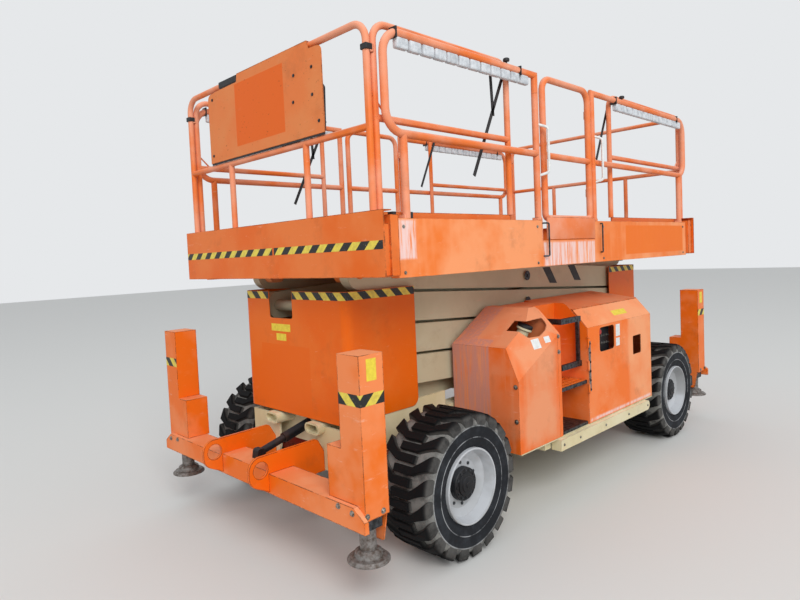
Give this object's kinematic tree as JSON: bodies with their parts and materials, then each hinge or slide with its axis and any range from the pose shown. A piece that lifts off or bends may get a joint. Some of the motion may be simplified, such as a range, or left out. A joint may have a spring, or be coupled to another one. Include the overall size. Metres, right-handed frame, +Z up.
{
  "type": "scissor lift",
  "caption": "Rough-terrain scissor lift with a two-way extending railed deck, levelling jacks and lugged tyres.",
  "frame": {"origin": "on the ground under the middle of the machine, all four tyres on z = 0", "axes": "+X along the machine towards its rear, away from the steering axle; +Y to the machine's right; +Z up"},
  "size_m": [5.11, 2.3, 3.094],
  "materials": {
    "orange_paint": "worn gloss",
    "cream_paint": "satin",
    "black_paint": "satin",
    "red_paint": "satin",
    "silver_paint": "satin",
    "dark_steel": "worn",
    "bright_steel": "polished",
    "tyre_rubber": "dusty matt"
  },
  "bodies": {
    "root": {"chassis_frame": "cream_paint", "front_axle": "red_paint", "rear_axle": "red_paint", "jack_frame_front": "orange_paint", "jack_frame_rear": "orange_paint", "frame_arms": "orange_paint", "jack_guides": "dark_steel", "beam_cylinders": "black_paint", "end_covers": "orange_paint", "tank_hoods": "orange_paint", "ladder_niches": "orange_paint", "bay_shells": "orange_paint", "side_trays": "cream_paint", "ladders": "dark_steel", "engine": "dark_steel", "ground_controls": "black_paint", "tank_filler": "cream_paint"},
    "knuckle_left": {"knuckle_left": "red_paint"},
    "knuckle_right": {"knuckle_right": "red_paint"},
    "wheel_front_left": {"tyre_front_left": "tyre_rubber", "rim_front_left": "silver_paint"},
    "wheel_front_right": {"tyre_front_right": "tyre_rubber", "rim_front_right": "silver_paint"},
    "wheel_rear_left": {"tyre_rear_left": "tyre_rubber", "rim_rear_left": "silver_paint"},
    "wheel_rear_right": {"tyre_rear_right": "tyre_rubber", "rim_rear_right": "silver_paint"},
    "jack_front_left": {"jack_front_left": "dark_steel"},
    "jack_front_right": {"jack_front_right": "dark_steel"},
    "jack_rear_left": {"jack_rear_left": "dark_steel"},
    "jack_rear_right": {"jack_rear_right": "dark_steel"},
    "door_left": {"door_left": "orange_paint"},
    "door_right": {"door_right": "orange_paint"},
    "inner_arms_1": {"inner_arms_1": "cream_paint"},
    "outer_arms_1": {"outer_arms_1": "cream_paint"},
    "inner_arms_2": {"inner_arms_2": "cream_paint"},
    "outer_arms_2": {"outer_arms_2": "cream_paint"},
    "inner_arms_3": {"inner_arms_3": "cream_paint"},
    "outer_arms_3": {"outer_arms_3": "cream_paint"},
    "inner_arms_4": {"inner_arms_4": "cream_paint"},
    "outer_arms_4": {"outer_arms_4": "cream_paint"},
    "platform": {"deck": "orange_paint", "deck_rails": "orange_paint"},
    "lift_barrels": {"lift_barrels": "black_paint"},
    "lift_rods": {"lift_rods": "bright_steel"},
    "extension_front": {"extension_deck_front": "orange_paint", "extension_rails_front": "orange_paint", "extension_posts_front": "orange_paint", "control_panel": "orange_paint", "control_box": "black_paint"},
    "extension_rear": {"extension_deck_rear": "orange_paint", "extension_rails_rear": "orange_paint", "extension_posts_rear": "orange_paint"},
    "gate_left": {"gate_left": "orange_paint"},
    "gate_right": {"gate_right": "orange_paint"}
  },
  "joints": [
    {"name": "steer_left", "type": "hinge", "parent": "root", "child": "knuckle_left", "pos_m": [-1.553, -0.81, 0.44], "axis": [0, 0, 1], "range_deg": [-22, 22]},
    {"name": "steer_right", "type": "hinge", "parent": "root", "child": "knuckle_right", "pos_m": [-1.553, 0.81, 0.44], "axis": [0, 0, 1], "range_deg": [-22, 22]},
    {"name": "spin_front_left", "type": "hinge", "parent": "knuckle_left", "child": "wheel_front_left", "pos_m": [-1.553, 0, 0.44], "axis": [0, 1, 0], "continuous": true},
    {"name": "spin_front_right", "type": "hinge", "parent": "knuckle_right", "child": "wheel_front_right", "pos_m": [-1.553, 0, 0.44], "axis": [0, 1, 0], "continuous": true},
    {"name": "spin_rear_left", "type": "hinge", "parent": "root", "child": "wheel_rear_left", "pos_m": [1.553, 0, 0.44], "axis": [0, 1, 0], "continuous": true},
    {"name": "spin_rear_right", "type": "hinge", "parent": "root", "child": "wheel_rear_right", "pos_m": [1.553, 0, 0.44], "axis": [0, 1, 0], "continuous": true},
    {"name": "lower_jack_front_left", "type": "slide", "parent": "root", "child": "jack_front_left", "axis": [0, 0, -1], "range_m": [0, 0.45]},
    {"name": "lower_jack_front_right", "type": "slide", "parent": "root", "child": "jack_front_right", "axis": [0, 0, -1], "range_m": [0, 0.45]},
    {"name": "lower_jack_rear_left", "type": "slide", "parent": "root", "child": "jack_rear_left", "axis": [0, 0, -1], "range_m": [0, 0.45]},
    {"name": "lower_jack_rear_right", "type": "slide", "parent": "root", "child": "jack_rear_right", "axis": [0, 0, -1], "range_m": [0, 0.45]},
    {"name": "open_door_left", "type": "hinge", "parent": "root", "child": "door_left", "pos_m": [-0.104, -1.127, 0], "axis": [0, 0, -1], "range_deg": [0, 100]},
    {"name": "open_door_right", "type": "hinge", "parent": "root", "child": "door_right", "pos_m": [-0.104, 1.127, 0], "axis": [0, 0, 1], "range_deg": [0, 100]},
    {"name": "lift", "type": "hinge", "parent": "root", "child": "inner_arms_1", "pos_m": [-1.85, 0, 0.865], "axis": [0, -1, 0], "range_deg": [0, 60]},
    {"name": "fold_outer_arms_1", "type": "hinge", "parent": "inner_arms_1", "child": "outer_arms_1", "pos_m": [-0.00313, 0, 0.9725], "axis": [0, 1, 0], "range_deg": [0, 120]},
    {"name": "fold_inner_arms_2", "type": "hinge", "parent": "outer_arms_1", "child": "inner_arms_2", "pos_m": [-1.85, 0, 1.08], "axis": [0, -1, 0], "range_deg": [0, 120]},
    {"name": "fold_outer_arms_2", "type": "hinge", "parent": "inner_arms_2", "child": "outer_arms_2", "pos_m": [-0.00313, 0, 1.1875], "axis": [0, 1, 0], "range_deg": [0, 120]},
    {"name": "fold_inner_arms_3", "type": "hinge", "parent": "outer_arms_2", "child": "inner_arms_3", "pos_m": [-1.85, 0, 1.295], "axis": [0, -1, 0], "range_deg": [0, 120]},
    {"name": "fold_outer_arms_3", "type": "hinge", "parent": "inner_arms_3", "child": "outer_arms_3", "pos_m": [-0.00313, 0, 1.4025], "axis": [0, 1, 0], "range_deg": [0, 120]},
    {"name": "fold_inner_arms_4", "type": "hinge", "parent": "outer_arms_3", "child": "inner_arms_4", "pos_m": [-1.85, 0, 1.51], "axis": [0, -1, 0], "range_deg": [0, 120]},
    {"name": "fold_outer_arms_4", "type": "hinge", "parent": "inner_arms_4", "child": "outer_arms_4", "pos_m": [-0.00313, 0, 1.6175], "axis": [0, 1, 0], "range_deg": [0, 120]},
    {"name": "level_platform", "type": "hinge", "parent": "outer_arms_4", "child": "platform", "pos_m": [-1.85, 0, 1.725], "axis": [0, -1, 0], "range_deg": [0, 60]},
    {"name": "swing_barrels", "type": "hinge", "parent": "root", "child": "lift_barrels", "pos_m": [1.75, 0, 0.765], "axis": [0, 1, 0], "range_deg": [0, 26.63]},
    {"name": "extend_rods", "type": "slide", "parent": "lift_barrels", "child": "lift_rods", "axis": [-0.9977, 0, 0.0678], "range_m": [0, 1.33169]},
    {"name": "extend_deck_front", "type": "slide", "parent": "platform", "child": "extension_front", "axis": [-1, 0, 0], "range_m": [0, 0.91]},
    {"name": "extend_deck_rear", "type": "slide", "parent": "platform", "child": "extension_rear", "axis": [1, 0, 0], "range_m": [0, 1.22]},
    {"name": "open_gate_left", "type": "hinge", "parent": "platform", "child": "gate_left", "pos_m": [0.1635, -1.013, 2.5], "axis": [0, 0, -1], "range_deg": [0, 90]},
    {"name": "open_gate_right", "type": "hinge", "parent": "platform", "child": "gate_right", "pos_m": [0.1635, 1.013, 2.5], "axis": [0, 0, 1], "range_deg": [0, 90]}
  ],
  "couplings": [
    {"joint": "steer_right", "follows": "steer_left", "ratio": 1},
    {"joint": "fold_outer_arms_1", "follows": "lift", "ratio": 2},
    {"joint": "fold_inner_arms_2", "follows": "lift", "ratio": 2},
    {"joint": "fold_outer_arms_2", "follows": "lift", "ratio": 2},
    {"joint": "fold_inner_arms_3", "follows": "lift", "ratio": 2},
    {"joint": "fold_outer_arms_3", "follows": "lift", "ratio": 2},
    {"joint": "fold_inner_arms_4", "follows": "lift", "ratio": 2},
    {"joint": "fold_outer_arms_4", "follows": "lift", "ratio": 2},
    {"joint": "level_platform", "follows": "lift", "ratio": 1},
    {"joint": "swing_barrels", "follows": "lift", "ratio": 0.44362},
    {"joint": "extend_rods", "follows": "lift", "m_per_rad": 1.2712}
  ]
}
